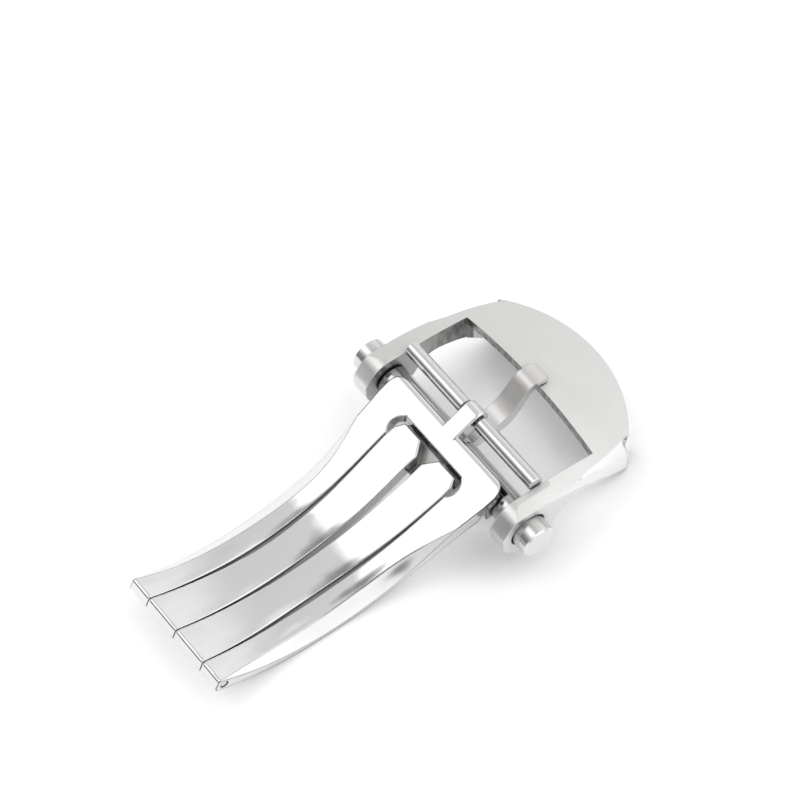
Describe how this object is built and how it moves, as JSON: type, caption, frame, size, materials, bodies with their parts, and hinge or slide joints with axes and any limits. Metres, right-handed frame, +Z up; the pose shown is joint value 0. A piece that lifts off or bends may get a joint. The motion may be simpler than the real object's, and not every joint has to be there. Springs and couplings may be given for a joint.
{
  "type": "deployant clasp",
  "caption": "Folding stainless steel watch strap clasp with nested curved blades, push buttons, a bowed buckle frame with tang, and a strap bar.",
  "frame": {"origin": "under the middle of the clasp's bounding box, on the surface that it rests on", "axes": "+X from the blade hinge to the far bowed edge of the buckle frame, +Y across the strap, +Z up (wrist side of the nested blades)"},
  "size_m": [0.047, 0.0252, 0.0084],
  "materials": {
    "polished_steel": "mirror polished stainless steel",
    "satin_steel": "fine satin stainless steel with polished bevels",
    "pin_steel": "drawn and polished pin stock",
    "button_steel": "fine turned, satin end face",
    "spring_steel": "bright drawn spring steel"
  },
  "bodies": {
    "middle": {"middle_blade": "polished_steel", "tang_pin": "pin_steel", "blade_hinge_pin": "pin_steel", "button_spring_left": "spring_steel", "button_spring_right": "spring_steel"},
    "wrist": {"wrist_blade": "polished_steel", "strap_bar_pin": "pin_steel", "strap_sleeve_left": "pin_steel", "strap_sleeve_right": "pin_steel"},
    "frame": {"buckle_frame": "satin_steel"},
    "tang": {"tang": "satin_steel"},
    "left_button": {"button_left": "button_steel", "retaining_ring_left": "spring_steel"},
    "right_button": {"button_right": "button_steel", "retaining_ring_right": "spring_steel"}
  },
  "joints": [
    {"name": "blade_fold", "type": "hinge", "parent": "middle", "child": "wrist", "pos_m": [-0.0226, 0, 0.00259], "axis": [0, -1, 0], "range_deg": [0, 165]},
    {"name": "frame_fold", "type": "hinge", "parent": "middle", "child": "frame", "pos_m": [0.00716, 0, 0.00445], "axis": [0, 1, 0], "range_deg": [0, 140]},
    {"name": "tang_swing", "type": "hinge", "parent": "frame", "child": "tang", "pos_m": [0.00716, 0, 0.00445], "axis": [0, -1, 0], "range_deg": [0, 24]},
    {"name": "left_press", "type": "slide", "parent": "frame", "child": "left_button", "axis": [0, -1, 0], "range_m": [0, 0.00085], "stiffness_N_per_m": 900, "springref_m": -0.0006, "deforming": ["button_spring_left"]},
    {"name": "right_press", "type": "slide", "parent": "frame", "child": "right_button", "axis": [0, 1, 0], "range_m": [0, 0.00085], "stiffness_N_per_m": 900, "springref_m": -0.0006, "deforming": ["button_spring_right"]}
  ]
}
